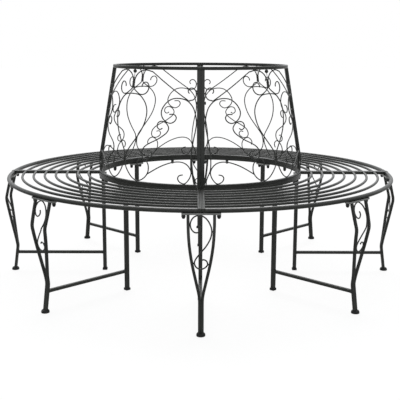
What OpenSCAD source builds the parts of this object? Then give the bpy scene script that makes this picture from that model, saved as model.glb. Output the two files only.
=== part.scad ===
/* [Seat] */
// Height of the seat top above the ground
seat_height = 437; // [400:1:480]
// Outside diameter of the seat rim
seat_diameter = 1600; // [1500:5:1700]
// Diameter of the round rim tube
rim_tube = 16; // [14:0.5:19]
// Diameter of the round slats
slat_rod = 10; // [8:0.5:12]
// Number of slats between the rim and the inner ring
slat_count = 7; // [5:1:8]
// Side of the square tubes of the inner ring and the end bars
seat_tube = 12.5; // [10:0.5:14]

/* [Back] */
// Height of the back's top edge above the ground
total_height = 883; // [840:1:930]
// Radius at the middle of the top rail
top_radius = 354.5; // [345:0.5:365]
// Radius at the middle of the inner ring and the bottom rail
inner_radius = 419.5; // [410:0.5:430]
// Side of the square rails
rail_tube = 12.5; // [10:0.5:14]
// Side of the square posts
post_tube = 14; // [12:0.5:16]
// Height above the seat where the posts start to lean in
post_bend_height = 65; // [50:1:80]
// Diameter of the scroll wire
scroll_wire = 4.5; // [4:0.5:6]

/* [Legs] */
// Width of one bar of the curved outer leg, along the rim
leg_bar_width = 10; // [9:0.5:11]
// Depth of one bar of the curved outer leg
leg_bar_depth = 11; // [9:0.5:13]
// Spread of the two bars at the top, middle to middle
leg_spread = 87; // [78:1:92]
// Side of the square inner leg
inner_leg_tube = 15; // [13:0.5:17]
// Side of the square stretcher
stretcher_tube = 12; // [10:0.5:14]
// Height of the middle of the stretcher
stretcher_height = 79; // [60:1:100]
// Diameter of the scroll wire in the leg
leg_wire = 5; // [4:0.5:5.5]
// Diameter of the outer foot cap
foot_diameter = 31; // [29:0.5:36]

/* [Fixings] */
// Thickness of the leg plates
plate_thickness = 3; // [2.5:0.5:5]
// Diameter of the studs and bolts
stud = 6; // [5:0.5:6.5]
// Outside diameter of the cap nuts
nut = 12; // [11.5:0.5:14]
// Length of the cap nuts
nut_length = 17; // [13:0.5:20]

/* [Hidden] */
$fn = 48;

fit = 0.15;
wall = 1;
steel = "dimgray";
dark = "darkslategray";
bright = "gray";

rim_radius = seat_diameter / 2 - rim_tube / 2;
ring_in = inner_radius - seat_tube / 2;
ring_out = inner_radius + seat_tube / 2;
rim_in = rim_radius - rim_tube / 2;
slat_step = (rim_in - ring_out) / (slat_count + 1);
function slat_radius(i) = ring_out + slat_step * i;
ring_bottom = seat_height - seat_tube;
rim_bottom = seat_height - rim_tube;
rail_bottom = total_height - rail_tube;
bend_z = seat_height + post_bend_height;
// Middle of the back's wall at height z: upright near the seat, then leaning in
lean = (inner_radius - top_radius - 1) / (rail_bottom - bend_z);
function back_radius(z) = inner_radius - max(0, z - bend_z) * lean;

// Legs stand every 45 degrees, and rail studs are set in from the seams
leg_angles = [for (i = [0:7]) 45 * i];
rail_stud_angles = [18, 65, 115, 162, 198, 245, 295, 342];

// Side view of the outer leg as [radius, height], and front view as [offset, height]
plate_top = rim_bottom;
plate_bottom = plate_top - plate_thickness;
foot_height = 12;
foot_edge = 5;
foot_taper = 4;
foot_socket = 8;
knee_drop = 96;
knee_z = plate_bottom - knee_drop;
ankle_z = 108;
knee_out = 24;
ankle_in = 8.5;
foot_out = 6;
leg_top_r = seat_diameter / 2 - 4;
knee_r = leg_top_r + knee_out;
ankle_r = leg_top_r - ankle_in;
foot_r = leg_top_r + foot_out;
leg_foot_z = foot_height - foot_socket;
leg_side = [[leg_top_r, plate_bottom], [knee_r, knee_z], [ankle_r, ankle_z], [foot_r, leg_foot_z]];
shoulder_drop = 103;
shoulder_out = 0.5;
meet_z = 132;
meet_half = leg_bar_width / 2 - 0.2;
leg_front = [[leg_spread / 2, plate_bottom], [leg_spread / 2 + shoulder_out, plate_bottom - shoulder_drop],
             [meet_half, meet_z], [meet_half, leg_foot_z]];
// How far from each corner of these paths, counted from the top, the bar starts to bend
side_bends = [12, 9];
front_bends = [92, 20];
function at_height(pts, z, i = 0) =
    z >= pts[i + 1][1] || i == len(pts) - 2
        ? pts[i][0] + (pts[i + 1][0] - pts[i][0]) * (pts[i][1] - z) / (pts[i][1] - pts[i + 1][1])
        : at_height(pts, z, i + 1);

inner_leg_r = inner_radius - 7;
inner_plate_top = ring_bottom;
inner_plate_bottom = inner_plate_top - plate_thickness;
inner_foot_height = 10;
inner_foot_socket = 6;
outer_stud_t = leg_spread / 2 + 15;
inner_stud_t = inner_leg_tube / 2 + 18.5;
post_bolt_drawn = 313;
bolt_end = 5;
nut_bore_depth = nut_length - 3;

// A path with each corner replaced by an arc that starts the given distance from it, for the bent bars
bend_steps = 8;
function unit(v) = v / norm(v);
function corner(a, b, c, reach) =
    let (u = unit(a - b), v = unit(c - b), half = acos(u * v) / 2, r = reach * tan(half),
         m = b + unit(u + v) * reach / cos(half), s = b + u * reach, e = b + v * reach,
         a0 = atan2((s - m)[1], (s - m)[0]), d = atan2((e - m)[1], (e - m)[0]) - a0,
         turn = d > 180 ? d - 360 : d < -180 ? d + 360 : d)
    [for (i = [0:bend_steps]) let (t = a0 + turn * i / bend_steps) m + r * [cos(t), sin(t)]];
function bent(pts, bends) =
    [pts[0],
     for (i = [1:len(pts) - 2]) each corner(pts[i - 1], pts[i], pts[i + 1], bends[i - 1]),
     pts[len(pts) - 1]];
side_path = bent(leg_side, side_bends);
front_path = bent(leg_front, front_bends);
function side_of(pts, w) =
    [for (i = [0:len(pts) - 1])
        let (a = pts[max(i - 1, 0)], b = pts[min(i + 1, len(pts) - 1)], d = unit(b - a))
        pts[i] + w * [-d[1], d[0]]];
function band(pts, w) =
    let (a = side_of(pts, w / 2), b = side_of(pts, -w / 2))
    concat(a, [for (i = [len(b) - 1:-1:0]) b[i]]);

// A smooth curve through hand-set points, with more steps where it bends more or runs far
step_turn = 28;
step_length = 48;
function steps(a, b, c, d) =
    max(1, round(acos(min(1, unit(c - a) * unit(d - b))) / step_turn),
        ceil(abs(c[0] - b[0]) / step_length));
function spline(p) =
    let (k = len(p) - 1)
    [for (i = [0:k - 1])
        let (a = p[max(i - 1, 0)], b = p[i], c = p[i + 1], d = p[min(i + 2, k)], n = steps(a, b, c, d))
        for (j = [0:n - 1]) let (t = j / n)
        0.5 * (2 * b + (c - a) * t + (2 * a - 5 * b + 4 * c - d) * t * t
            + (3 * b - a - 3 * c + d) * t * t * t),
     p[k]];

// Back scrolls for half a panel, as [distance from the panel's middle, height above the seat], drawn
// on a flat panel. The other half is a mirror image.
wire_gap = scroll_wire / 2 + fit;
// Middle distance of two wires where they are welded, a little less than the wire
touch = scroll_wire - 0.6;
rail_line = rail_tube + wire_gap;
collar_top = 388;
collar_bottom = 366;
stem = 2;
// A collar holds two wires side by side with the finial's stem between them. At the collar the drawn
// panel is 1.09 times as wide as the back.
collar_size = stem + 2 * (fit + scroll_wire);
collar_seat = 1.09 * (stem / 2 + wire_gap);
crest = [[collar_seat, collar_top], [3.8, 390.5], [8.5, 403.5], [18, 415.5], [36, 426], [62, 431.1],
         [90, 427], [116, 415], [249, 327.5], [263, 322.8], [277, 325.3], [286, 335.5], [288.1, 348],
         [284, 360], [274, 368], [262, 366], [256, 357], [261, 347]];
c_scroll = [[collar_seat, collar_bottom], [3.9, 363.5], [11, 357], [22, 350.2], [38, 342.2], [55, 339.4],
            [73, 345], [84, 358], [85, 374], [75, 385], [61, 385], [51, 376], [50, 367]];
balloon = [[0, 342], [22, 341], [42, 341.1 - touch], [60, 325], [77, 305], [86, 279], [84, 250], [75, 222],
           [60, 195], [40, 167], [20, 141], [7.5, 122], [3.6, 105], [3.6, 87], [9, 66], [22, 44], [40, 25],
           [62, rail_line], [84, 21], [103, 37], [113, 58], [111, 80], [98.5, 96.2], [82.5, 106.3 - touch],
           [69, 95], [63, 82], [67, 69]];
low_scroll = [[105, 42], [154, 73], [186, 88], [211, 95], [233, 96], [251, 90], [264.6, 76], [271.1, 57],
              [264.4, 34], [248.5, rail_line + 0.6], [232, 20], [224, 33], [229, 45], [243, 49]];
arch = [[183, 270], [203, 270], [212, 259], [207, 246], [191, 237.5], [172.4, 242.6], [156, 258], [151, 281],
        [165, 307], [189, 325], [218, 329.5], [248, 327.5 - touch], [267, 309], [279, 291], [286, 266],
        [289.1, 240], [285.5, 212], [278, 175], [272, 135], [269.5, 100], [267.7 + touch, 66], [281, 40],
        [285, 25], [285.4, rail_tube + fit]];
link = [[160, 219], [149, 213], [138, 222], [140, 237], [153.5, 243.8],
        [172.4 - 0.65 * touch, 242.6 - 0.76 * touch], [180.5, 228.5], [184, 216], [176, 201], [160, 188],
        [140, 175], [112, 161], [93, 149], [82, 135], [79.5, 118], [87.1, 104.8], [103.6, 100.6],
        [119.5, 108.3], [124, 121], [116, 131], [103, 129]];
// The drawn panel ends where its widest arch meets the post and its highest crest meets the top rail
drawn_half = max([for (p = arch) p[0]]) + wire_gap;
drawn_height = max([for (p = crest) p[1]]) + wire_gap;

// Leg scroll between the two bars, as [offset, height], drawn for a leg of these heights and offsets
drawn_leg = [[38.5, 418], [32.5, 322], [0, 108]];
leg_scroll = [[-6, 383], [-2, 371], [-10, 360], [-22, 361], [-32, 374], [-33.8, 392], [-24, 408.5],
              [-4, 414.5], [16, 403.5], [28, 384], [32.2, 362], [27, 338], [14, 314], [-2, 292],
              [-15, 271], [-19.5, 256], [-14, 241], [-2, 234], [11, 239], [18.6, 251], [15, 264],
              [5, 268], [0, 260]];

// A taller or lower back stretches the pattern only between the places where wires are welded
stretch_zones = [[130, 0], [205, 0.5], [275, 0.5], [320, 1]];
function panel_z(h) =
    seat_height + h + (rail_bottom - seat_height - drawn_height) * lookup(h, stretch_zones);
post_bolt_z = panel_z(post_bolt_drawn);
function on_back(p) =
    let (z = panel_z(p[1]), r = back_radius(z), a = 45 + p[0] / drawn_half * (45 - asin(post_tube / r)))
    [r * cos(a), r * sin(a), z];
// The leg scroll follows the bend heights of the leg and the room between its bars
function on_leg(p) =
    let (bends = [[drawn_leg[2][1], ankle_z], [drawn_leg[1][1], knee_z],
                  [drawn_leg[0][1], plate_bottom]],
         z = lookup(p[1], bends), room = at_height(front_path, z) - leg_bar_width / 2)
    [at_height(leg_side, z), p[0] * room / at_height(drawn_leg, p[1]), z];
function flip(p) = [-p[0], p[1]];

// Wire of given diameter swept along points in space, with flat ends, in a wall that leans in by tilt
wire_sides = 6;
function ring_points(pts, i, d, tilt) =
    let (k = len(pts) - 1, p = pts[i], t = unit(pts[min(i + 1, k)] - pts[max(i - 1, 0)]),
         u = unit(cross(t, [p[0], p[1], tilt * norm([p[0], p[1]])])), v = cross(u, t), s = 360 / wire_sides)
    [for (j = [0:wire_sides - 1]) p + d / 2 * (u * cos(s * j) + v * sin(s * j))];
module wire(pts, d, tilt) {
    n = wire_sides;
    k = len(pts) - 1;
    points = [for (i = [0:k]) each ring_points(pts, i, d, tilt)];
    faces = [[for (j = [n - 1:-1:0]) j],
             for (i = [0:k - 1]) for (j = [0:n - 1])
                 each [[i * n + j, i * n + (j + 1) % n, (i + 1) * n + j],
                       [i * n + (j + 1) % n, (i + 1) * n + (j + 1) % n, (i + 1) * n + j]],
             [for (j = [0:n - 1]) k * n + j]];
    polyhedron(points, faces, convexity = 10);
}

// Quarter number q turns a piece built between +X and +Y to its place, counted from the front right
module quarter(q) { rotate([0, 0, 90 * q - 90]) children(); }
// A leg or a stud at the given angle from the front, built along +X
module around(a) { rotate([0, 0, a - 90]) children(); }
// Angle at which a piece of half width w at radius r clears a tube of width s on the seam
function start_angle(r, w, s) = asin(s / (r - w));

module round_arc(r, d, s) {
    a = start_angle(r, d / 2, s);
    b = asin(wall / r);
    difference() {
        rotate([0, 0, a]) rotate_extrude(angle = 90 - 2 * a, $fn = 180)
            translate([r, 0]) circle(d = d, $fn = 32);
        rotate([0, 0, a + b]) rotate_extrude(angle = 90 - 2 * (a + b), $fn = 180)
            translate([r, 0]) circle(d = d - 2 * wall, $fn = 32);
    }
}
module square_arc(r, w, s) {
    a = s > 0 ? start_angle(r, w / 2, s) : 0;
    b = asin(wall / r);
    difference() {
        rotate([0, 0, a]) rotate_extrude(angle = 90 - 2 * a, $fn = 180) translate([r - w / 2, 0]) square(w);
        rotate([0, 0, a + b]) rotate_extrude(angle = 90 - 2 * (a + b), $fn = 180)
            translate([r - w / 2 + wall, wall]) square(w - 2 * wall);
    }
}
module box_tube(size, at) {
    translate(at) difference() {
        cube(size);
        translate([wall, wall, wall]) cube(size - 2 * [wall, wall, wall]);
    }
}
module drill(r, angles, d, z, h) {
    for (a = angles) rotate([0, 0, a]) translate([r, 0, z]) cylinder(d = d, h = h);
}

function leg_hole_angles(r, t) = let (b = asin(t / r)) [b, 45 - b, 45 + b, 90 - b];
outer_stud_r = rim_radius;
outer_hole_angles = leg_hole_angles(outer_stud_r, outer_stud_t);
inner_hole_angles = leg_hole_angles(inner_radius, inner_stud_t);
function rail_hole_angles(q) = q % 2 == 0 ? [18, 65] : [25, 72];

module seat_rim(q) {
    color(steel) quarter(q) difference() {
        translate([0, 0, seat_height - rim_tube / 2]) round_arc(rim_radius, rim_tube, seat_tube);
        drill(outer_stud_r, outer_hole_angles, stud + 2 * fit, rim_bottom - 1, wall + 3);
    }
}
module seat_slats(q) {
    color(steel) quarter(q) translate([0, 0, seat_height - slat_rod / 2])
        for (i = [1:slat_count]) round_arc(slat_radius(i), slat_rod, seat_tube);
}
module seat_ring(q) {
    color(steel) quarter(q) difference() {
        translate([0, 0, ring_bottom]) square_arc(inner_radius, seat_tube, seat_tube);
        drill(inner_radius, inner_hole_angles, stud + 2 * fit, ring_bottom - 1, wall + 3);
        drill(inner_radius, rail_hole_angles(q), stud + 2 * fit, ring_bottom - 1, seat_tube + 2);
    }
}
module end_bars(q) {
    long = seat_diameter / 2 - 1 - ring_in;
    color(steel) quarter(q) {
        box_tube([long, seat_tube, seat_tube], [ring_in, 0, ring_bottom]);
        box_tube([seat_tube, long, seat_tube], [0, ring_in, ring_bottom]);
    }
}
module top_rail(q) {
    color(steel) quarter(q) translate([0, 0, rail_bottom]) square_arc(top_radius, rail_tube, 0);
}
module bottom_rail(q) {
    color(steel) quarter(q) difference() {
        translate([0, 0, seat_height]) square_arc(inner_radius, rail_tube, post_tube);
        drill(inner_radius, rail_hole_angles(q), stud + 2 * fit, seat_height - 1, wall + 3);
    }
}
function post_outline(w, inset) =
    let (a = back_radius(seat_height), b = back_radius(rail_bottom - inset))
    [[a - w / 2, seat_height + inset], [a + w / 2, seat_height + inset], [a + w / 2, bend_z],
     [b + w / 2, rail_bottom - inset], [b - w / 2, rail_bottom - inset], [a - w / 2, bend_z]];
module post() {
    difference() {
        translate([0, post_tube, 0]) rotate([90, 0, 0]) linear_extrude(post_tube)
            polygon(post_outline(post_tube, 0));
        translate([0, post_tube - wall, 0]) rotate([90, 0, 0]) linear_extrude(post_tube - 2 * wall)
            polygon(post_outline(post_tube - 2 * wall, wall));
        translate([back_radius(post_bolt_z), -1, post_bolt_z]) rotate([-90, 0, 0])
            cylinder(d = stud + 2 * fit, h = post_tube + 2);
    }
}
module posts(q) {
    color(steel) quarter(q) {
        post();
        mirror([1, -1, 0]) post();
    }
}
module scrolls(q) {
    color(dark) quarter(q) {
        for (s = [crest, c_scroll, low_scroll, link, arch]) {
            wire([for (p = spline(s)) on_back(p)], scroll_wire, lean);
            wire([for (p = spline(s)) on_back(flip(p))], scroll_wire, lean);
        }
        half = spline(balloon);
        whole = concat([for (i = [len(half) - 1:-1:1]) flip(half[i])], half);
        wire([for (p = whole) on_back(p)], scroll_wire, lean);
    }
}

// A frame on the back's leaning wall, at the middle of a panel and the given height above the seat
module on_wall(h) {
    z = panel_z(h);
    rotate([0, 0, 45]) translate([back_radius(z), 0, z]) rotate([0, -atan(lean), 0]) children();
}
ball = 14;
module collars() {
    color(steel) for (q = [0:3]) quarter(q)
        on_wall(collar_bottom) cylinder(d = collar_size, h = (collar_top - collar_bottom) / cos(atan(lean)));
}
module finials() {
    ball_h = drawn_height - ball / 2;
    color(steel) for (q = [0:3]) quarter(q) {
        on_wall(ball_h) sphere(d = ball);
        on_wall(collar_top) cylinder(d = stem, h = (ball_h - collar_top) / cos(atan(lean)));
    }
}

// The two bent bars of an outer leg: the side view cut to the front view
module outer_leg(i) {
    color(steel) around(leg_angles[i - 1]) intersection() {
        translate([0, -leg_spread, leg_foot_z])
            cube([seat_diameter, 2 * leg_spread, plate_bottom - leg_foot_z]);
        translate([0, leg_spread, 0]) rotate([90, 0, 0]) linear_extrude(2 * leg_spread)
            polygon(band(side_path, leg_bar_depth));
        translate([seat_diameter / 2 - leg_spread, 0, 0]) rotate([90, 0, 90]) linear_extrude(2 * leg_spread) {
            polygon(band(front_path, leg_bar_width));
            mirror([1, 0]) polygon(band(front_path, leg_bar_width));
        }
    }
}
module inner_legs() {
    bottom = inner_foot_height - inner_foot_socket;
    color(steel) for (a = leg_angles) around(a)
        box_tube([inner_leg_tube, inner_leg_tube, inner_plate_bottom - bottom],
                 [inner_leg_r - inner_leg_tube / 2, -inner_leg_tube / 2, bottom]);
}
module stretchers() {
    from = inner_leg_r + inner_leg_tube / 2;
    to = at_height(leg_side, stretcher_height + stretcher_tube / 2) - leg_bar_depth / 2 - 2 * fit;
    color(steel) for (a = leg_angles) around(a)
        box_tube([to - from, stretcher_tube, stretcher_tube],
                 [from, -stretcher_tube / 2, stretcher_height - stretcher_tube / 2]);
}
module leg_scrolls() {
    color(dark) for (a = leg_angles) around(a) wire([for (p = spline(leg_scroll)) on_leg(p)], leg_wire, 0);
}
outer_plate = [22, 2 * outer_stud_t + 14, plate_thickness];
module outer_plates() {
    color(steel) for (a = leg_angles) around(a) difference() {
        translate([seat_diameter / 2 + 2 - outer_plate[0], -outer_plate[1] / 2, plate_bottom])
            cube(outer_plate);
        for (s = [-1, 1]) stud_place(outer_stud_r, outer_stud_t * s, plate_bottom - 1)
            cylinder(d = stud + 2 * fit, h = plate_thickness + 2);
    }
}
inner_plate = [26, 2 * inner_stud_t + 14, plate_thickness];
module inner_plates() {
    color(steel) for (a = leg_angles) around(a) difference() {
        translate([ring_out + 1 - inner_plate[0], -inner_plate[1] / 2, inner_plate_bottom]) cube(inner_plate);
        for (s = [-1, 1]) stud_place(inner_radius, inner_stud_t * s, inner_plate_bottom - 1)
            cylinder(d = stud + 2 * fit, h = plate_thickness + 2);
    }
}
module outer_feet() {
    lean_in = (foot_r - ankle_r) / (ankle_z - leg_foot_z) * foot_socket;
    color(dark) for (a = leg_angles) around(a) difference() {
        translate([foot_r, 0, 0]) {
            cylinder(d = foot_diameter, h = foot_edge);
            translate([0, 0, foot_edge])
                cylinder(d1 = foot_diameter, d2 = foot_diameter - foot_taper, h = foot_height - foot_edge);
        }
        translate([foot_r - leg_bar_depth / 2 - 2 * fit - lean_in, -leg_bar_width - fit, leg_foot_z])
            cube([leg_bar_depth + 4 * fit + lean_in, 2 * (leg_bar_width + fit), foot_height]);
    }
}
module inner_feet() {
    w = inner_leg_tube + 2 * fit;
    color(dark) for (a = leg_angles) around(a) difference() {
        translate([inner_leg_r - inner_leg_tube / 2 - 2.5, -inner_leg_tube / 2 - 2.5, 0])
            cube([inner_leg_tube + 5, inner_leg_tube + 5, inner_foot_height]);
        translate([inner_leg_r - w / 2, -w / 2, inner_foot_height - inner_foot_socket])
            cube([w, w, inner_foot_height]);
    }
}

// A stud or nut at offset t along the rim, at the radius of the ring that holds it
module stud_place(r, t, z) { rotate([0, 0, asin(t / r)]) translate([r, 0, z]) children(); }
module cap_nut() {
    difference() {
        translate([0, 0, -nut_length + nut / 2]) {
            cylinder(d = nut / cos(30), h = nut_length - nut / 2, $fn = 6);
            intersection() {
                sphere(d = nut);
                translate([0, 0, -nut]) cylinder(d = nut, h = nut);
            }
        }
        translate([0, 0, -nut_bore_depth]) cylinder(d = stud + 2 * fit, h = nut_bore_depth + 1);
    }
}
module outer_studs() {
    low = plate_bottom - nut_bore_depth + 1;
    color(bright) for (a = leg_angles) around(a) for (s = [-1, 1])
        stud_place(outer_stud_r, outer_stud_t * s, low) cylinder(d = stud, h = rim_bottom + wall + 1 - low);
}
module outer_nuts() {
    color(bright) for (a = leg_angles) around(a) for (s = [-1, 1])
        stud_place(outer_stud_r, outer_stud_t * s, plate_bottom) cap_nut();
}
module inner_studs() {
    low = inner_plate_bottom - nut_bore_depth + 1;
    color(bright) for (a = leg_angles) around(a) for (s = [-1, 1])
        stud_place(inner_radius, inner_stud_t * s, low) cylinder(d = stud, h = ring_bottom + wall + 1 - low);
}
module inner_nuts() {
    color(bright) for (a = leg_angles) around(a) for (s = [-1, 1])
        stud_place(inner_radius, inner_stud_t * s, inner_plate_bottom) cap_nut();
}
module rail_studs() {
    low = ring_bottom - nut_bore_depth + 1;
    color(bright) for (a = rail_stud_angles) around(a)
        stud_place(inner_radius, 0, low) cylinder(d = stud, h = seat_height + wall + 1 - low);
}
module rail_nuts() {
    color(bright) for (a = rail_stud_angles) around(a) stud_place(inner_radius, 0, ring_bottom) cap_nut();
}
bolt_head = 5;
module post_bolts() {
    color(bright) for (q = [0:3]) quarter(q)
        translate([back_radius(post_bolt_z), 0, post_bolt_z]) rotate([90, 0, 0]) {
            translate([0, 0, -post_tube - bolt_end]) cylinder(d = stud, h = 2 * post_tube + bolt_end);
            translate([0, 0, post_tube]) cylinder(d = nut, h = bolt_head, $fn = 6);
        }
}
module post_nuts() {
    color(bright) for (q = [0:3]) quarter(q)
        translate([back_radius(post_bolt_z), post_tube, post_bolt_z]) rotate([-90, 0, 0]) difference() {
            cylinder(d = nut, h = bolt_head, $fn = 6);
            translate([0, 0, -1]) cylinder(d = stud + 2 * fit, h = bolt_head + 2);
        }
}

seat_rim(0);  // seat_rim_front_right
seat_rim(1);  // seat_rim_rear_right
seat_rim(2);  // seat_rim_rear_left
seat_rim(3);  // seat_rim_front_left
seat_slats(0);  // seat_slats_front_right
seat_slats(1);  // seat_slats_rear_right
seat_slats(2);  // seat_slats_rear_left
seat_slats(3);  // seat_slats_front_left
seat_ring(0);  // seat_ring_front_right
seat_ring(1);  // seat_ring_rear_right
seat_ring(2);  // seat_ring_rear_left
seat_ring(3);  // seat_ring_front_left
end_bars(0);  // end_bars_front_right
end_bars(1);  // end_bars_rear_right
end_bars(2);  // end_bars_rear_left
end_bars(3);  // end_bars_front_left
top_rail(0);  // top_rail_front_right
top_rail(1);  // top_rail_rear_right
top_rail(2);  // top_rail_rear_left
top_rail(3);  // top_rail_front_left
bottom_rail(0);  // bottom_rail_front_right
bottom_rail(1);  // bottom_rail_rear_right
bottom_rail(2);  // bottom_rail_rear_left
bottom_rail(3);  // bottom_rail_front_left
posts(0);  // posts_front_right
posts(1);  // posts_rear_right
posts(2);  // posts_rear_left
posts(3);  // posts_front_left
scrolls(0);  // scrolls_front_right
scrolls(1);  // scrolls_rear_right
scrolls(2);  // scrolls_rear_left
scrolls(3);  // scrolls_front_left
collars();
finials();
outer_leg(1);  // outer_leg_1
outer_leg(2);  // outer_leg_2
outer_leg(3);  // outer_leg_3
outer_leg(4);  // outer_leg_4
outer_leg(5);  // outer_leg_5
outer_leg(6);  // outer_leg_6
outer_leg(7);  // outer_leg_7
outer_leg(8);  // outer_leg_8
inner_legs();
stretchers();
leg_scrolls();
outer_plates();
inner_plates();
outer_feet();
inner_feet();
outer_studs();
outer_nuts();
inner_studs();
inner_nuts();
rail_studs();
rail_nuts();
post_bolts();
post_nuts();
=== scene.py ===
import math
import bpy
from mathutils import Matrix, Vector


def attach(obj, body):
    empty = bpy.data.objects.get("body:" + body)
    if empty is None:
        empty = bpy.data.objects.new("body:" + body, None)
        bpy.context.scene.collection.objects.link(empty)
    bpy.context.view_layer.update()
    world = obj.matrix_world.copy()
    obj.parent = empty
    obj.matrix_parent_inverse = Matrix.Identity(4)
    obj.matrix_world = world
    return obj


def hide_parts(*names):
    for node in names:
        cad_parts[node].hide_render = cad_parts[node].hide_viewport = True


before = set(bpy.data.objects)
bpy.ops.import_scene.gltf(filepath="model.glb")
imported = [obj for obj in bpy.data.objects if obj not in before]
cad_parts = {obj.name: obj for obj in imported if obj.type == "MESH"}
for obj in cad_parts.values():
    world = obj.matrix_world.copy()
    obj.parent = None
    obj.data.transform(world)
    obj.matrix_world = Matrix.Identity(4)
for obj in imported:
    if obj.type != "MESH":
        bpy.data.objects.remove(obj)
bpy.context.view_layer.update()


# The photograph's camera stands 3.3 m in front of the bench, a hand above its back, and looks down.
# Its place and lens come from the ellipses of the seat and the feet in the photograph.
camera_data = bpy.data.cameras.new("photo_camera")
camera_data.lens = 71.22
camera_data.sensor_width = 36
camera = bpy.data.objects.new("photo_camera", camera_data)
camera.location = (-0.0181, -3.3312, 0.9632)
camera.rotation_euler = [math.radians(a) for a in (78.896, -0.208, -0.2686)]
bpy.context.scene.collection.objects.link(camera)
bpy.context.scene.camera = camera


# A plain white studio: a matt paper floor, lit through from below so that it stays white, in a white
# room whose back wall glows softly, and one broad light high behind: tops shine, fronts stay dark.
def deselect():
    bpy.ops.object.select_all(action="DESELECT")


JUST_BELOW_GROUND = -0.0005
deselect()
bpy.ops.mesh.primitive_circle_add(vertices=96, radius=30, fill_type="NGON",
                                  location=(0, 0, JUST_BELOW_GROUND))
floor = bpy.context.object
floor.name = "floor"
floor.visible_glossy = False
paper = bpy.data.materials.new("white_paper")
paper.use_nodes = True
coat = paper.node_tree.nodes["Principled BSDF"]
coat.inputs["Base Color"].default_value = (0.12, 0.12, 0.12, 1)
coat.inputs["Roughness"].default_value = 0.9
coat.inputs["Specular IOR Level"].default_value = 0.0
coat.inputs["Emission Color"].default_value = (1, 1, 1, 1)
coat.inputs["Emission Strength"].default_value = 0.88
floor.data.materials.append(paper)

room = bpy.data.worlds.new("white_room")
room.use_nodes = True
nodes, links = room.node_tree.nodes, room.node_tree.links
height = nodes.new("ShaderNodeSeparateXYZ")
links.new(nodes.new("ShaderNodeTexCoord").outputs["Generated"], height.inputs["Vector"])
ceiling = nodes.new("ShaderNodeValToRGB")
ceiling.color_ramp.elements[0].position = 0.0
ceiling.color_ramp.elements[0].color = (0.13, 0.13, 0.13, 1)
ceiling.color_ramp.elements[1].position = 0.8
ceiling.color_ramp.elements[1].color = (0.46, 0.46, 0.46, 1)
low_wall = ceiling.color_ramp.elements.new(0.22)
low_wall.color = (0.7, 0.72, 0.74, 1)
links.new(height.outputs["Z"], ceiling.inputs["Fac"])
backdrop = nodes.new("ShaderNodeMapRange")
backdrop.interpolation_type = "SMOOTHSTEP"
backdrop.inputs["From Min"].default_value = 0.3
backdrop.inputs["From Max"].default_value = 0.95
backdrop.inputs["To Max"].default_value = 0.46
links.new(height.outputs["Y"], backdrop.inputs["Value"])
glow = nodes.new("ShaderNodeMix")
glow.data_type = "RGBA"
glow.blend_type = "ADD"
glow.inputs["Factor"].default_value = 1
links.new(ceiling.outputs["Color"], glow.inputs["A"])
links.new(backdrop.outputs["Result"], glow.inputs["B"])
soft_light = nodes["Background"]
links.new(glow.outputs["Result"], soft_light.inputs["Color"])
white = nodes.new("ShaderNodeBackground")
white.inputs["Color"].default_value = (1, 1, 1, 1)
seen = nodes.new("ShaderNodeMixShader")
links.new(nodes.new("ShaderNodeLightPath").outputs["Is Camera Ray"], seen.inputs["Fac"])
links.new(soft_light.outputs["Background"], seen.inputs[1])
links.new(white.outputs["Background"], seen.inputs[2])
links.new(seen.outputs["Shader"], nodes["World Output"].inputs["Surface"])
bpy.context.scene.world = room
bpy.context.scene.view_settings.view_transform = "Standard"

lamp_data = bpy.data.lights.new("soft_back_light", "SUN")
lamp_data.energy = 2.1
lamp_data.angle = math.radians(45)
lamp = bpy.data.objects.new("soft_back_light", lamp_data)
lamp.rotation_euler = (math.radians(-28), 0, 0)
bpy.context.scene.collection.objects.link(lamp)


# Seat rim: four quarter arcs of 16 mm round steel tube, closed at both ends, with the whole frame
# powder coated in satin graphite. The coat has a fine orange peel and slightly uneven gloss.
SIDES = {"front_right": -90, "rear_right": 0, "rear_left": 90, "front_left": 180}
SEAT_TOP = 0.437
RIM_RADIUS, RIM_TUBE = 0.792, 0.016
END_BAR = 0.0125


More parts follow.
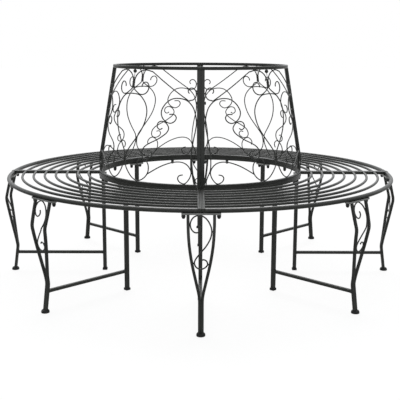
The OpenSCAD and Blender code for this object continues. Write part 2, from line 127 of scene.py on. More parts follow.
def powder_coat(name, dark, light, gloss, peel, shine=0.5):
    """A mottled coat between two tones, with dust flecks, rubbed corners and orange peel."""
    metal = bpy.data.materials.new(name)
    metal.use_nodes = True
    nodes, links = metal.node_tree.nodes, metal.node_tree.links
    skin = nodes["Principled BSDF"]
    skin.inputs["IOR"].default_value = 1.5
    skin.inputs["Specular IOR Level"].default_value = shine
    place = nodes.new("ShaderNodeTexCoord").outputs["Object"]

    clouds = nodes.new("ShaderNodeTexNoise")
    clouds.inputs["Scale"].default_value = 9
    clouds.inputs["Detail"].default_value = 6
    links.new(place, clouds.inputs["Vector"])
    tone = nodes.new("ShaderNodeValToRGB")
    tone.color_ramp.elements[0].position = 0.32
    tone.color_ramp.elements[0].color = (*dark, 1)
    tone.color_ramp.elements[1].position = 0.7
    tone.color_ramp.elements[1].color = (*light, 1)
    links.new(clouds.outputs["Fac"], tone.inputs["Fac"])

    # Fine flecks, where dust settled in the coat
    flecks = nodes.new("ShaderNodeTexNoise")
    flecks.inputs["Scale"].default_value = 900
    flecks.inputs["Detail"].default_value = 2
    links.new(place, flecks.inputs["Vector"])
    fleck_mask = nodes.new("ShaderNodeMapRange")
    fleck_mask.inputs["From Min"].default_value = 0.62
    fleck_mask.inputs["From Max"].default_value = 0.78
    fleck_mask.inputs["To Max"].default_value = 0.35
    links.new(flecks.outputs["Fac"], fleck_mask.inputs["Value"])
    dusted = nodes.new("ShaderNodeMix")
    dusted.data_type = "RGBA"
    links.new(fleck_mask.outputs["Result"], dusted.inputs["Factor"])
    links.new(tone.outputs["Color"], dusted.inputs["A"])
    dusted.inputs["B"].default_value = (light[0] * 2.4, light[1] * 2.4, light[2] * 2.3, 1)

    # Corners are rubbed a little lighter where hands and packing touched them
    corner = nodes.new("ShaderNodeNewGeometry")
    rub = nodes.new("ShaderNodeMapRange")
    rub.inputs["From Min"].default_value = 0.53
    rub.inputs["From Max"].default_value = 0.62
    rub.inputs["To Max"].default_value = 0.45
    links.new(corner.outputs["Pointiness"], rub.inputs["Value"])
    patches = nodes.new("ShaderNodeTexNoise")
    patches.inputs["Scale"].default_value = 38
    patches.inputs["Detail"].default_value = 5
    links.new(place, patches.inputs["Vector"])
    rubbed = nodes.new("ShaderNodeMath")
    rubbed.operation = "MULTIPLY"
    links.new(rub.outputs["Result"], rubbed.inputs[0])
    links.new(patches.outputs["Fac"], rubbed.inputs[1])
    worn = nodes.new("ShaderNodeMix")
    worn.data_type = "RGBA"
    links.new(rubbed.outputs["Value"], worn.inputs["Factor"])
    links.new(dusted.outputs["Result"], worn.inputs["A"])
    worn.inputs["B"].default_value = (light[0] * 3.2, light[1] * 3.2, light[2] * 3.1, 1)
    links.new(worn.outputs["Result"], skin.inputs["Base Color"])

    sheen = nodes.new("ShaderNodeMapRange")
    sheen.inputs["To Min"].default_value = gloss - 0.07
    sheen.inputs["To Max"].default_value = gloss + 0.09
    links.new(patches.outputs["Fac"], sheen.inputs["Value"])
    links.new(sheen.outputs["Result"], skin.inputs["Roughness"])

    pores = nodes.new("ShaderNodeTexNoise")
    pores.inputs["Scale"].default_value = 620
    pores.inputs["Detail"].default_value = 3
    links.new(place, pores.inputs["Vector"])
    bump = nodes.new("ShaderNodeBump")
    bump.inputs["Strength"].default_value = peel
    bump.inputs["Distance"].default_value = 0.0003
    links.new(pores.outputs["Fac"], bump.inputs["Height"])
    links.new(bump.outputs["Normal"], skin.inputs["Normal"])
    return metal


graphite = powder_coat("graphite_powder_coat", dark=(0.0225, 0.024, 0.0216), light=(0.0295, 0.0312, 0.0278),
                       gloss=0.34, peel=0.25)


def pick(piece):
    """Selects this piece alone."""
    deselect()
    piece.select_set(True)
    bpy.context.view_layer.objects.active = piece


def settle(piece):
    """Puts the piece's place into its mesh, so that its object sits at the origin."""
    pick(piece)
    bpy.ops.object.transform_apply(location=True, rotation=True, scale=True)


def turned_copy(piece, name, degrees):
    """A copy with its own mesh, turned about the middle of the bench."""
    pick(piece)
    bpy.ops.object.duplicate(linked=False)
    copy = bpy.context.object
    copy.name = name
    copy.rotation_euler = (0, 0, math.radians(degrees))
    settle(copy)
    return copy


def dress(piece, metal, slot, *nodes):
    """Smooths and coats a finished piece and lets it stand for its CAD nodes."""
    pick(piece)
    bpy.ops.object.shade_smooth_by_angle(angle=math.radians(35))
    piece.data.materials.clear()
    piece.data.materials.append(metal)
    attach(piece, "root")
    if nodes:
        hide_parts(*nodes)


def four_sides(piece, name, node, metal, slot):
    """The same piece in each of the four quarters, built first between +X and +Y."""
    for side, degrees in SIDES.items():
        dress(turned_copy(piece, f"{name}_{side}", degrees), metal, slot, f"{node}_{side}")
    bpy.data.objects.remove(piece)


def spin_selected(start, end, steps):
    """Spins the selected profile about the middle of the bench, from its start angle to its end."""
    bpy.ops.mesh.spin(steps=steps, angle=math.radians(start - end), center=(0, 0, 0), axis=(0, 0, 1))
    bpy.ops.mesh.select_all(action="SELECT")
    bpy.ops.mesh.remove_doubles(threshold=0.00001)
    bpy.ops.mesh.normals_make_consistent(inside=False)


def round_bar(radius, height, thickness, start, sides, steps):
    """A round bar bent round the tree: a disc spun through the quarter."""
    angle = math.radians(start)
    end = (radius * math.cos(angle), radius * math.sin(angle), height)
    deselect()
    bpy.ops.mesh.primitive_circle_add(vertices=sides, radius=thickness / 2, fill_type="NGON",
                                      location=end, rotation=(math.radians(90), 0, angle))
    bar = bpy.context.object
    settle(bar)
    bpy.ops.object.mode_set(mode="EDIT")
    bpy.ops.mesh.select_all(action="SELECT")
    spin_selected(start, 90 - start, steps)
    bpy.ops.object.mode_set(mode="OBJECT")
    return bar


def beside(gap, inner_radius):
    """The angle at which a curved bar stops so that its inner corner keeps this gap to the seam."""
    return math.degrees(math.asin(gap / inner_radius))


rim_start = beside(END_BAR, RIM_RADIUS - RIM_TUBE / 2)
rim = round_bar(RIM_RADIUS, SEAT_TOP - RIM_TUBE / 2, RIM_TUBE, rim_start, sides=28, steps=90)
four_sides(rim, "rim", "seat_rim", graphite, "frame")


# Seat slats: seven 10 mm round rods in each quarter, bent to arcs 45 mm apart and butt welded to the
# end bars, flush with their tops. A small bead of weld goes round each rod end.
SLAT_ROD, SLAT_STEP, FIRST_SLAT = 0.01, 0.04478125, 0.47053125
SLAT_BEAD, SLAT_BEAD_HEIGHT, SLAT_BEAD_GAP = 0.0044, 0.4318, 0.0127


def joined(pieces, name):
    """Makes one object of several."""
    deselect()
    for piece in pieces:
        piece.select_set(True)
    bpy.context.view_layer.objects.active = pieces[0]
    bpy.ops.object.join()
    bpy.context.object.name = name
    return bpy.context.object


def weld_bead(place, size, along, sides=10):
    """A low ring of weld metal round the end of a bar; four sides make one for a square bar."""
    deselect()
    bpy.ops.mesh.primitive_torus_add(major_segments=sides, minor_segments=6, minor_radius=0.0011,
                                     major_radius=size / math.cos(math.pi / sides))
    bead = bpy.context.object
    facing = Vector(along).to_track_quat("Z", "Y").to_matrix().to_4x4()
    bead.matrix_world = Matrix.Translation(place) @ facing @ Matrix.Rotation(math.pi / sides, 4, "Z")
    settle(bead)
    return bead


slats = []
for i in range(7):
    radius = FIRST_SLAT + SLAT_STEP * i
    start = beside(END_BAR, radius - SLAT_ROD / 2)
    slats.append(round_bar(radius, SEAT_TOP - SLAT_ROD / 2, SLAT_ROD, start, sides=20, steps=72))
    reach = math.sqrt(radius ** 2 - SLAT_BEAD_GAP ** 2)
    slats.append(weld_bead((reach, SLAT_BEAD_GAP, SLAT_BEAD_HEIGHT), SLAT_BEAD, (0, 1, 0)))
    slats.append(weld_bead((SLAT_BEAD_GAP, reach, SLAT_BEAD_HEIGHT), SLAT_BEAD, (1, 0, 0)))
four_sides(joined(slats, "slats"), "slats", "seat_slats", graphite, "frame")


# Inner ring and rails: 12.5 mm square tube with softly rounded corners, rolled to a quarter arc. The
# ring carries the seat's end bars, the bottom rail stands on it and the top rail closes the back.
RAIL_TUBE, RAIL_CORNER = 0.0125, 0.0016
RING_RADIUS, RING_BOTTOM = 0.4195, 0.4245
TOP_RADIUS, TOP_RAIL_BOTTOM = 0.3545, 0.8705
POST_TUBE = 0.014


def square_bar(radius, underside, start):
    """A square tube with rounded corners, bent round the tree."""
    angle = math.radians(start)
    end = (radius * math.cos(angle), radius * math.sin(angle), underside + RAIL_TUBE / 2)
    deselect()
    bpy.ops.mesh.primitive_plane_add(size=RAIL_TUBE, rotation=(math.radians(90), 0, angle), location=end)
    bar = bpy.context.object
    settle(bar)
    bpy.ops.object.mode_set(mode="EDIT")
    bpy.ops.mesh.select_all(action="SELECT")
    bpy.ops.mesh.bevel(offset=RAIL_CORNER, segments=4, affect="VERTICES")
    bpy.ops.mesh.select_all(action="SELECT")
    spin_selected(start, 90 - start, steps=60)
    bpy.ops.object.mode_set(mode="OBJECT")
    return bar


ring = square_bar(RING_RADIUS, RING_BOTTOM, beside(END_BAR, RING_RADIUS - RAIL_TUBE / 2))
four_sides(ring, "inner_ring", "seat_ring", graphite, "frame")
bottom_rail = square_bar(RING_RADIUS, SEAT_TOP, beside(POST_TUBE, RING_RADIUS - RAIL_TUBE / 2))
four_sides(bottom_rail, "bottom_rail", "bottom_rail", graphite, "frame")
top_rail = square_bar(TOP_RADIUS, TOP_RAIL_BOTTOM, 0.0)
four_sides(top_rail, "top_rail", "top_rail", graphite, "frame")


# End bars: straight 12.5 mm square tubes at both ends of each seat quarter, side by side with those
# of the next quarter, so that each seam shows as a double bar from the inner ring to the rim.
BAR_START, BAR_END = 0.41325, 0.799
SEAM_FACE, SEAT_FACE = 0.0001, 0.0124


def blank(low, high):
    """Bar stock cut to length between two corners, still with sharp edges."""
    deselect()
    bpy.ops.mesh.primitive_cube_add(size=1, location=[(a + b) / 2 for a, b in zip(low, high)])
    bar = bpy.context.object
    bar.scale = [b - a for a, b in zip(low, high)]
    settle(bar)
    return bar


def block(low, high, corner):
    """A straight bar between two corners, with its edges rounded."""
    bar = blank(low, high)
    bpy.ops.object.mode_set(mode="EDIT")
    bpy.ops.mesh.select_all(action="SELECT")
    bpy.ops.mesh.bevel(offset=corner, segments=3, affect="EDGES")
    bpy.ops.object.mode_set(mode="OBJECT")
    return bar


end_bars = [block((BAR_START, SEAM_FACE, RING_BOTTOM), (BAR_END, SEAT_FACE, SEAT_TOP), corner=0.0014),
            block((SEAM_FACE, BAR_START, RING_BOTTOM), (SEAT_FACE, BAR_END, SEAT_TOP), corner=0.0014)]
four_sides(joined(end_bars, "end_bars"), "end_bars", "end_bars", graphite, "frame")


# Posts: two 14 mm square tubes in each back panel, upright at the foot and then leaning in to the
# top rail. They are bent, not cut, so the corner is soft.
POST_CORNER = 0.0017
BACK_BEND = 0.502
BACK_LEAN = 0.064 / (TOP_RAIL_BOTTOM - BACK_BEND)
POST_BEND = {0.49: 0, 0.496: 0.0001, BACK_BEND: 0.00035, 0.508: 0.0001, 0.514: 0, TOP_RAIL_BOTTOM: 0}


def wall_inset(z):
    """How far the back's wall has leant in at this height."""
    return max(0.0, z - BACK_BEND) * BACK_LEAN


def post():
    """One post, drawn up from its foot, with a little extra inset that rounds its bend."""
    deselect()
    bpy.ops.mesh.primitive_plane_add(size=POST_TUBE - 0.0002,
                                     location=(RING_RADIUS, POST_TUBE / 2, SEAT_TOP))
    tube = bpy.context.object
    settle(tube)
    bpy.ops.object.mode_set(mode="EDIT")
    bpy.ops.mesh.select_all(action="SELECT")
    bpy.ops.mesh.bevel(offset=POST_CORNER, segments=4, affect="VERTICES")
    bpy.ops.mesh.select_all(action="SELECT")
    height, inset = SEAT_TOP, 0.0
    for z, rounding in POST_BEND.items():
        reach = wall_inset(z) + rounding
        bpy.ops.mesh.extrude_region_move(TRANSFORM_OT_translate={"value": (inset - reach, 0, z - height)})
        height, inset = z, reach
    bpy.ops.mesh.select_all(action="SELECT")
    bpy.ops.mesh.normals_make_consistent(inside=False)
    bpy.ops.object.mode_set(mode="OBJECT")
    return tube


first_post = post()
# The post at the other seam of the quarter is its mirror image
second_post = post()
for vertex in second_post.data.vertices:
    vertex.co.x, vertex.co.y = vertex.co.y, vertex.co.x
second_post.data.flip_normals()
four_sides(joined([first_post, second_post], "posts"), "posts", "posts", graphite, "frame")


# Back scrolls: 4.5 mm round wire bent cold to scrolls on a jig, then rolled to the curve of the back
# and welded where the wires touch. Each half panel is drawn flat, in mm from the panel's middle and
# above the seat, and the other half is its mirror image.
SCROLL_WIRE = 0.0045
SPOT, NECK_SPOT = 0.0018, 0.0016
DRAWN_HALF = 291.5
ROUNDED_END = [(0.0, 1.0), (0.45, 0.89), (0.8, 0.6), (0.97, 0.24)]


def through(points, gap):
    """Points about this far apart on a smooth curve through the given points."""
    curve = []
    last = len(points) - 1
    for i in range(last):
        a, b, c, d = (Vector(points[j]) for j in (max(i - 1, 0), i, i + 1, min(i + 2, last)))
        steps = max(2, math.ceil((c - b).length / gap))
        for j in range(steps):
            t = j / steps
            curve.append(0.5 * (2 * b + (c - a) * t + (2 * a - 5 * b + 4 * c - d) * t * t
                                + (3 * b - a - 3 * c + d) * t ** 3))
    return curve + [Vector(points[last])]


def bend_wire(path, thickness):
    """Round wire along a path in space, with its ends rounded off."""
    deselect()
    bpy.ops.curve.primitive_bezier_curve_add()
    wire = bpy.context.object
    wire.data.splines.clear()
    strand = wire.data.splines.new("POLY")
    first, last = (path[0] - path[1]).normalized(), (path[-1] - path[-2]).normalized()
    tip = thickness / 2
    clear = tip * 1.3
    run = ([(path[0] - first * (tip * (1 - reach)), size) for reach, size in reversed(ROUNDED_END)]
           + [(point, 1.0) for point in path
              if (point - path[0]).length > clear and (point - path[-1]).length > clear]
           + [(path[-1] - last * (tip * (1 - reach)), size) for reach, size in ROUNDED_END])
    strand.points.add(len(run) - 1)
    for point, (place, size) in zip(strand.points, run):
        point.co = (*place, 1)
        point.radius = size
    wire.data.dimensions = "3D"
    wire.data.twist_mode = "MINIMUM"
    wire.data.bevel_depth = thickness / 2
    wire.data.bevel_resolution = 3
    wire.data.use_fill_caps = True
    bpy.ops.object.convert(target="MESH")
    return bpy.context.object


def on_back(u, h):
    """The place on the leaning wall of the quarter between +X and +Y, in metres."""
    z = SEAT_TOP + h / 1000
    radius = RING_RADIUS - wall_inset(z)
    angle = math.radians(45) + u / DRAWN_HALF * (math.radians(45) - math.asin(POST_TUBE / radius))
    return Vector((radius * math.cos(angle), radius * math.sin(angle), z))


crest = [(3.7, 386), (3.8, 390.5), (8.5, 403.5), (18, 415.5), (36, 426), (62, 431.1), (90, 427),
         (116, 415), (249, 327.5), (263, 322.8), (277, 325.3), (286, 335.5), (288.1, 348), (284, 360),
         (274, 368), (262, 366), (256, 357), (261, 347)]
small_scroll = [(3.7, 368), (3.9, 363.5), (11, 357), (22, 350.2), (38, 342.2), (55, 339.4), (73, 345),
                (84, 358), (85, 374), (75, 385), (61, 385), (51, 376), (50, 367)]
low_scroll = [(105, 42), (154, 73), (186, 88), (211, 95), (233, 96), (251, 90), (264.6, 76), (271.1, 57),
              (264.4, 34), (248.5, 15.5), (232, 20), (224, 33), (229, 45), (243, 49)]
arch = [(183, 270), (203, 270), (212, 259), (207, 246), (191, 237.5), (172.4, 242.6), (156, 258),
        (151, 281), (165, 307), (189, 325), (218, 329.5), (248, 323.6), (267, 309), (279, 291), (286, 266),
        (289.1, 240), (285.5, 212), (278, 175), (272, 135), (269.5, 100), (271.6, 66), (281, 40), (285, 25),
        (285.4, 12.6)]
link = [(160, 219), (149, 213), (138, 222), (140, 237), (153.5, 243.8), (169.9, 239.6), (180.5, 228.5),
        (184, 216), (176, 201), (160, 188), (140, 175), (112, 161), (93, 149), (82, 135), (79.5, 118),
        (87.1, 104.8), (103.6, 100.6), (119.5, 108.3), (124, 121), (116, 131), (103, 129)]
balloon = [(0, 342), (22, 341), (42, 337.2), (60, 325), (77, 305), (86, 279), (84, 250), (75, 222),
           (60, 195), (40, 167), (20, 141), (7.5, 122), (3.6, 105), (3.6, 87), (9, 66), (22, 44), (40, 25),
           (62, 14.9), (84, 21), (103, 37), (113, 58), (111, 80), (98.5, 96.2), (82.5, 102.4), (69, 95),
           (63, 82), (67, 69)]
# Where wires touch each other or the rails and posts, with the way that the wires run there
touches = [(248.5, 325.5, 1, -0.3), (171.1, 241.1, -1, 0.6), (86, 103.2, 1, 0), (37, 340.2, 1, -0.3),
           (272.9, 57.6, 0, 1), (106, 42, 1, 1), (62, 13.2, 1, 0), (248.5, 13.6, 1, 0), (62, 432.7, 1, 0),
           (290, 348, 0, 1), (290.8, 240, 0, 1)]
neck_touches = (90, 96, 102)

wires = []
for strand in (crest, small_scroll, low_scroll, arch, link):
    for hand in (1, -1):
        wires.append(bend_wire([on_back(hand * u, h) for u, h in through(strand, 5)], SCROLL_WIRE))
right_half = through(balloon, 5)
left_half = [(-u, h) for u, h in reversed(right_half[1:])]
wires.append(bend_wire([on_back(u, h) for u, h in [*left_half, *right_half]], SCROLL_WIRE))


def weld_spot(place, size, along=(0, 0, 1)):
    """A smooth blob of weld metal that bridges two wires, longer along them than across."""
    deselect()
    bpy.ops.mesh.primitive_uv_sphere_add(segments=12, ring_count=8, radius=size, location=place)
    spot = bpy.context.object
    spot.rotation_euler = Vector(along).to_track_quat("Z", "Y").to_euler()
    spot.scale = (1, 1, 1.6)
    settle(spot)
    return spot


for u, h, du, dh in touches:
    for hand in (1, -1):
        along = on_back(hand * (u + du), h + dh) - on_back(hand * u, h)
        wires.append(weld_spot(on_back(hand * u, h), SPOT, along))
for h in neck_touches:
    wires.append(weld_spot(on_back(0, h), NECK_SPOT))
four_sides(joined(wires, "scrolls"), "scrolls", "scrolls", graphite, "frame")


# Collar: a short turned steel sleeve at the middle of each panel that clasps the wires, with a
# rounded band at both ends and a groove between them.
COLLAR_FOOT = 366
COLLAR_SHAPE = [(0.0046, 0.0002), (0.0053, 0.0006), (0.00565, 0.0015), (0.00565, 0.0034), (0.0054, 0.0042),
                (0.005, 0.0048), (0.0049, 0.0174), (0.0054, 0.018), (0.00565, 0.0188), (0.00565, 0.0207),
                (0.0053, 0.0217), (0.0046, 0.0221)]


def turned(profile, sides):
    """A lathed piece: the profile of (radius, height) points spun about its own axis."""
    deselect()
    bpy.ops.mesh.primitive_circle_add(vertices=sides, radius=profile[0][0], fill_type="NGON",
                                      location=(0, 0, profile[0][1]))
    piece = bpy.context.object
    settle(piece)
    bpy.ops.object.mode_set(mode="EDIT")
    bpy.ops.mesh.select_all(action="SELECT")
    for (r0, z0), (r1, z1) in zip(profile, profile[1:]):
        bpy.ops.mesh.extrude_region_move(TRANSFORM_OT_translate={"value": (0, 0, z1 - z0)})
        bpy.ops.transform.resize(value=(r1 / r0, r1 / r0, 1), center_override=(0, 0, z1))
    bpy.ops.mesh.select_all(action="SELECT")
    bpy.ops.mesh.normals_make_consistent(inside=False)
    bpy.ops.object.mode_set(mode="OBJECT")
    return piece


def stand_on_back(piece, h):
    """Leans a piece with the back's wall, with its foot h above the seat at the panel's middle."""
    facing = Matrix.Rotation(math.radians(45), 4, "Z")
    leaning = Matrix.Rotation(-math.atan(BACK_LEAN), 4, "Y")
    piece.matrix_world = Matrix.Translation(on_back(0, h)) @ facing @ leaning
    settle(piece)


collar = turned(COLLAR_SHAPE, sides=32)
stand_on_back(collar, COLLAR_FOOT)
collars = joined([turned_copy(collar, "collar", degrees) for degrees in SIDES.values()], "collars")
bpy.data.objects.remove(collar)
dress(collars, graphite, "frame", "collars")


# Finial: a 14 mm steel ball on a thin stem above each collar, just under the top rail. The stem swells
# a little where the ball is welded to it.
FINIAL_FOOT = 388
STEM_SHAPE = [(0.001, 0.0), (0.001, 0.0312), (0.0017, 0.0324), (0.0024, 0.0334)]
BALL, BALL_HEIGHT = 0.014, 0.0391
stem = turned(STEM_SHAPE, sides=16)
deselect()
bpy.ops.mesh.primitive_uv_sphere_add(segments=32, ring_count=20, radius=BALL / 2,
                                     location=(0, 0, BALL_HEIGHT))
ball = bpy.context.object
settle(ball)
finial = joined([stem, ball], "finial")
stand_on_back(finial, FINIAL_FOOT)
finials = joined([turned_copy(finial, "finial", degrees) for degrees in SIDES.values()], "finials")
bpy.data.objects.remove(finial)
dress(finials, graphite, "frame", "finials")


# Outer legs: two steel bars in each, bent on a form, spread under the rim and welded side by side
# from the ankle down. Eight alike stand round the bench, every 45 degrees from the front.
LEG_ANGLES = [45 * i - 90 for i in range(8)]
LEG_DEPTH, LEG_WIDTH, LEG_CORNER = 0.011, 0.010, 0.0028
LEG_FOOT, LEG_TOP = 0.004, 0.418
# Side view as (radius, height) and front view as (offset, height), with how far each bend reaches
LEG_SIDE = [(0.802, LEG_FOOT), (0.7875, 0.108), (0.820, 0.322), (0.796, LEG_TOP)]
LEG_FRONT = [(0.0048, LEG_FOOT), (0.0048, 0.132), (0.044, 0.315), (0.0435, LEG_TOP)]
SIDE_CURVES, FRONT_CURVES = (0.009, 0.012), (0.020, 0.092)
ANKLE_WELDS, ANKLE_SPOT, ANKLE_FACES = (0.104, 0.109, 0.114, 0.119), 0.0016, (-0.0046, 0.0046)
TOP_WELD, TOP_BEAD = (0.7962, 0.0434, LEG_TOP - 0.0008), 0.0052


def bent(path, curves, steps=8):
    """A path from the foot up with rounded corners, each arc starting this far from its corner."""
    run = [Vector(path[0])]
    for before, corner, after, reach in zip(path, path[1:], path[2:], curves):
        corner = Vector(corner)
        down, up = (Vector(before) - corner).normalized(), (Vector(after) - corner).normalized()
        middle = corner + (down + up).normalized() * reach / math.cos(down.angle(up) / 2)
        first, last = corner + down * reach - middle, corner + up * reach - middle
        turn = first.angle(last) * (1 if first.cross(last) > 0 else -1)
        run += [middle + Matrix.Rotation(turn * i / steps, 2) @ first for i in range(steps + 1)]
    return run + [Vector(path[-1])]


def at_height(path, z):
    """How far out the path is at this height."""
    for low, high in zip(path, path[1:]):
        if z <= high[1] or high is path[-1]:
            return low[0] + (high[0] - low[0]) * (z - low[1]) / (high[1] - low[1])


def leg_bar(hand):
    """One bar from the foot up: a rounded section drawn along both views of the leg."""
    side, front = bent(LEG_SIDE, SIDE_CURVES), bent(LEG_FRONT, FRONT_CURVES)
    heights = sorted(round(point[1], 4) for point in side + front)
    heights = [z for z, below in zip(heights, [0] + heights) if z - below > 0.0008]

    def section(z):
        low, high = max(z - 0.0005, LEG_FOOT), min(z + 0.0005, LEG_TOP)
        lean_side = (at_height(side, high) - at_height(side, low)) / (high - low)
        lean_front = (at_height(front, high) - at_height(front, low)) / (high - low)
        place = Vector((at_height(side, z), hand * at_height(front, z), z))
        return place, LEG_DEPTH * math.hypot(1, lean_side), LEG_WIDTH * math.hypot(1, lean_front)

    place, depth, width = section(heights[0])
    deselect()
    bpy.ops.mesh.primitive_plane_add(size=1, location=place)
    bar = bpy.context.object
    bar.scale = (depth, width, 1)
    settle(bar)
    bpy.ops.object.mode_set(mode="EDIT")
    bpy.ops.mesh.select_all(action="SELECT")
    bpy.ops.mesh.bevel(offset=LEG_CORNER, segments=5, affect="VERTICES")
    bpy.ops.mesh.select_all(action="SELECT")
    for z in heights[1:]:
        higher, deeper, wider = section(z)
        bpy.ops.mesh.extrude_region_move(TRANSFORM_OT_translate={"value": higher - place})
        bpy.ops.transform.resize(value=(deeper / depth, wider / width, 1), center_override=higher)
        place, depth, width = higher, deeper, wider
    bpy.ops.mesh.select_all(action="SELECT")
    bpy.ops.mesh.normals_make_consistent(inside=False)
    bpy.ops.object.mode_set(mode="OBJECT")
    return bar


leg = [leg_bar(1), leg_bar(-1)]
for hand in (1, -1):
    leg.append(weld_bead((TOP_WELD[0], hand * TOP_WELD[1], TOP_WELD[2]), TOP_BEAD, (0, 0, 1), sides=4))
for z in ANKLE_WELDS:
    for face in ANKLE_FACES:
        leg.append(weld_spot((at_height(LEG_SIDE, z) + face, 0, z), ANKLE_SPOT))
leg = joined(leg, "outer_leg")
for number, degrees in enumerate(LEG_ANGLES, 1):
    dress(turned_copy(leg, f"outer_leg_bars_{number}", degrees), graphite, "frame", f"outer_leg_{number}")
bpy.data.objects.remove(leg)


# Leg scrolls: one long 5 mm wire in each leg, bent to a large and a small loop and welded to both
# bars where it touches them. It lies in the curved face between the bars.
LEG_WIRE, LEG_SPOT = 0.005, 0.0017
# The wire in mm, drawn as if both bars were straight: half the room between such bars is SCROLL_ROOM
SCROLL_ROOM = [(0.0, 0.108), (0.0325, 0.322), (0.0385, LEG_TOP)]
leg_wire = [(-6, 383), (-2, 371), (-10, 360), (-22, 361), (-32, 374), (-33.8, 392), (-24, 408.5),
            (-4, 414.5), (16, 403.5), (28, 384), (32.2, 362), (27, 338), (14, 314), (-2, 292), (-15, 271),
            (-19.5, 256), (-14, 241), (-2, 234), (11, 239), (18.6, 251), (15, 264), (5, 268), (0, 260)]
leg_touches = [(-34.6, 386), (34, 362), (-21.5, 256), (20.6, 251)]


def in_leg(t, z):
    """The place in the leg of a point drawn between straight bars, in metres."""
    t, z = t / 1000, z / 1000
    room = at_height(bent(LEG_FRONT, FRONT_CURVES), z) - LEG_WIDTH / 2
    return Vector((at_height(LEG_SIDE, z), t * room / at_height(SCROLL_ROOM, z), z))


def eight_legs(piece, name, metal, slot, *nodes):
    """One object with the piece at each of the eight legs."""
    ring = joined([turned_copy(piece, name, degrees) for degrees in LEG_ANGLES], name)
    bpy.data.objects.remove(piece)
    dress(ring, metal, slot, *nodes)


curl = [bend_wire([in_leg(t, z) for t, z in through(leg_wire, 4)], LEG_WIRE)]
for t, z in leg_touches:
    curl.append(weld_spot(in_leg(t, z), LEG_SPOT))
eight_legs(joined(curl, "leg_scroll"), "leg_scroll_wires", graphite, "frame", "leg_scrolls")


# Inner legs and stretchers: a 15 mm square tube stands under the inner ring at each leg, and a 12 mm
# square tube welded between it and the outer leg keeps the pair apart.
INNER_INSIDE, INNER_OUTSIDE, INNER_TOP = 0.405, 0.42, 0.4215
STRETCHER, STRETCHER_HEIGHT = 0.012, 0.079
STRETCHER_START, STRETCHER_END = 0.4201, 0.7845
inner_half = (INNER_OUTSIDE - INNER_INSIDE) / 2
inner_leg = [block((INNER_INSIDE, -inner_half, LEG_FOOT), (INNER_OUTSIDE, inner_half, INNER_TOP),
                   corner=0.0016),
             weld_bead((INNER_INSIDE + inner_half, 0, INNER_TOP - 0.0006), inner_half, (0, 0, 1), sides=4)]
eight_legs(joined(inner_leg, "inner_leg"), "inner_leg_tubes", graphite, "frame", "inner_legs")
half = STRETCHER / 2
stretcher = [block((STRETCHER_START, -half, STRETCHER_HEIGHT - half),
                   (STRETCHER_END, half, STRETCHER_HEIGHT + half), corner=0.0014)]
for end in (STRETCHER_START + 0.0005, STRETCHER_END - 0.0007):
    stretcher.append(weld_bead((end, 0, STRETCHER_HEIGHT), half, (1, 0, 0), sides=4))
eight_legs(joined(stretcher, "stretcher"), "stretcher_tubes", graphite, "frame", "stretchers")


# Mounting plates: 3 mm steel strips with rounded corners, welded across the top of each leg and
# drilled for two studs. The outer plate lies under the rim and the inner plate under the ring. Their
# coat is painted much paler than the frame: a painted highlight for the white floor's reflection on their
# edges.
RIM_PLATE = [(0.78, -0.0655, LEG_TOP), (0.802, 0.0655, LEG_TOP + 0.003)]
RING_PLATE = [(0.40075, -0.033, INNER_TOP), (0.42675, 0.033, INNER_TOP + 0.003)]
PLATE_CORNER, PLATE_EDGE = 0.005, 0.0005


def plate(low, high):
    """A flat plate with rounded corners and slightly broken edges."""
    strip = blank(low, high)
    for edge in strip.data.edges:
        ends = [strip.data.vertices[i].co for i in edge.vertices]
        edge.select = abs(ends[0].z - ends[1].z) > 0.001
    bpy.ops.object.mode_set(mode="EDIT")
    bpy.ops.mesh.bevel(offset=PLATE_CORNER, segments=6, affect="EDGES")
    bpy.ops.object.mode_set(mode="OBJECT")
    edge_round = strip.modifiers.new("edge_round", "BEVEL")
    edge_round.width = PLATE_EDGE
    edge_round.segments = 2
    bpy.ops.object.modifier_apply(modifier="edge_round")
    return strip


# Painted highlight: the plates' coat is many times paler than the frame's, standing in for the floor's
# reflection on their edges.
plate_painted_highlight_coat = powder_coat("pale_coat_painted_highlight", dark=(0.15, 0.155, 0.15), light=(0.26, 0.265, 0.255),
                        gloss=0.3, peel=0.3)
eight_legs(plate(*RIM_PLATE), "rim_plates", plate_painted_highlight_coat, "frame", "outer_plates")
eight_legs(plate(*RING_PLATE), "ring_plates", plate_painted_highlight_coat, "frame", "inner_plates")


# Foot caps: soft black plastic, pressed on. The outer leg stands in a round cap with a rounded
# shoulder, the inner leg in a square cap a little wider than its tube.
ROUND_CAP = [(0.0146, 0.0), (0.0155, 0.0009), (0.0155, 0.0046), (0.0152, 0.0064), (0.0143, 0.0086),
             (0.0129, 0.0104), (0.0118, 0.0115), (0.0106, 0.0119)]
SQUARE_CAP = [(0.4025, -0.01, 0), (0.4225, 0.01, 0.01)]
cap_plastic = powder_coat("black_cap_plastic", dark=(0.012, 0.0125, 0.0125),
                          light=(0.015, 0.015625, 0.015625), gloss=0.5, peel=0.12, shine=0.35)
round_cap = turned(ROUND_CAP, sides=40)
round_cap.location = (LEG_SIDE[0][0], 0, 0)
settle(round_cap)
eight_legs(round_cap, "round_foot_caps", cap_plastic, "caps", "outer_feet")
square_cap = block(*SQUARE_CAP, corner=0.0016)
eight_legs(square_cap, "square_foot_caps", cap_plastic, "caps", "inner_feet")


# Cap nuts: black domed hexagon nuts on the studs that pass down through rim, ring and plates. They
# hang below the plates of every leg and below the ring where it carries the bottom rail.
NUT_FLATS = [(0.0063, 0.0), (0.0069, -0.0007), (0.0069, -0.0104), (0.0062, -0.0111)]
NUT_DOME = [(0.0059, -0.0105), (0.0058, -0.0125), (0.0052, -0.0143), (0.0041, -0.0157), (0.0025, -0.0166),
            (0.0007, -0.0170)]
RIM_STUDS, RING_STUDS = (-0.0585, 0.0585), (-0.026, 0.026)
RAIL_STUD_ANGLES = (18, 65, 115, 162, 198, 245, 295, 342)


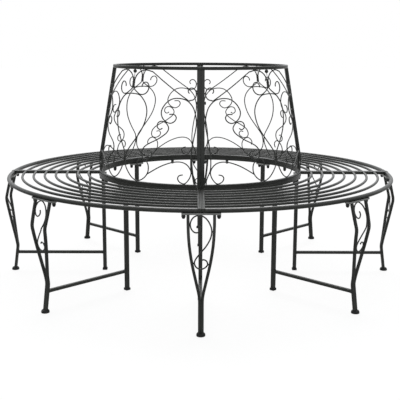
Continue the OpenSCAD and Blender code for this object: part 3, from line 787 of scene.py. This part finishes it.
def hang_nuts(radius, height, places, name, node):
    """Cap nuts at (angle from the front, offset along the rim) under the bench, as one object."""
    nut = joined([turned(NUT_FLATS, sides=6), turned(NUT_DOME, sides=24)], "cap_nut")
    nuts = []
    for degrees, offset in places:
        pick(nut)
        bpy.ops.object.duplicate(linked=False)
        hung = bpy.context.object
        hung.location = (math.sqrt(radius ** 2 - offset ** 2), offset, height)
        settle(hung)
        nuts.append(turned_copy(hung, name, degrees - 90))
        bpy.data.objects.remove(hung)
    bpy.data.objects.remove(nut)
    dress(joined(nuts, name), cap_plastic, "caps", node)


legs = [45 * i for i in range(8)]
hang_nuts(RIM_RADIUS, LEG_TOP, [(a, t) for a in legs for t in RIM_STUDS], "rim_cap_nuts", "outer_nuts")
hang_nuts(RING_RADIUS, INNER_TOP, [(a, t) for a in legs for t in RING_STUDS], "ring_cap_nuts", "inner_nuts")
hang_nuts(RING_RADIUS, RING_BOTTOM, [(a, 0) for a in RAIL_STUD_ANGLES], "rail_cap_nuts", "rail_nuts")


# Post bolts: one 6 mm hexagon bolt through each pair of posts, with a nut on the far side, pulls
# neighbouring back panels together. They and the studs are blackened steel.
BOLT_HEIGHT = 0.75
BOLT_HEAD = [(0.0055, 0.0142), (0.006, 0.0146), (0.006, 0.0182), (0.0052, 0.019)]
BOLT_SHANK = [(0.0029, -0.019), (0.003, -0.0186), (0.003, 0.0145)]
BOLT_NUT = [(0.0054, -0.0188), (0.006, -0.0182), (0.006, -0.0146), (0.0054, -0.0142)]
black_steel = powder_coat("blackened_steel", dark=(0.014, 0.0145, 0.0145), light=(0.022, 0.023, 0.023),
                          gloss=0.42, peel=0.15, shine=0.4)


def across_posts(profile, sides):
    """A turned piece laid through the two posts at a seam, at the height of the post bolts."""
    piece = turned(profile, sides)
    place = (RING_RADIUS - wall_inset(BOLT_HEIGHT), 0, BOLT_HEIGHT)
    piece.matrix_world = Matrix.Translation(place) @ Matrix.Rotation(math.radians(90), 4, "X")
    settle(piece)
    return piece


bolt = joined([across_posts(BOLT_HEAD, sides=6), across_posts(BOLT_SHANK, sides=20)], "post_bolt")
bolts = joined([turned_copy(bolt, "bolt", degrees) for degrees in SIDES.values()], "hexagon_bolts")
bpy.data.objects.remove(bolt)
dress(bolts, black_steel, "hardware", "post_bolts")
nut = across_posts(BOLT_NUT, sides=6)
nuts = joined([turned_copy(nut, "nut", degrees) for degrees in SIDES.values()], "hexagon_nuts")
bpy.data.objects.remove(nut)
dress(nuts, black_steel, "hardware", "post_nuts")
for node in ("outer_studs", "inner_studs", "rail_studs"):
    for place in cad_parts[node].material_slots:
        place.material = black_steel
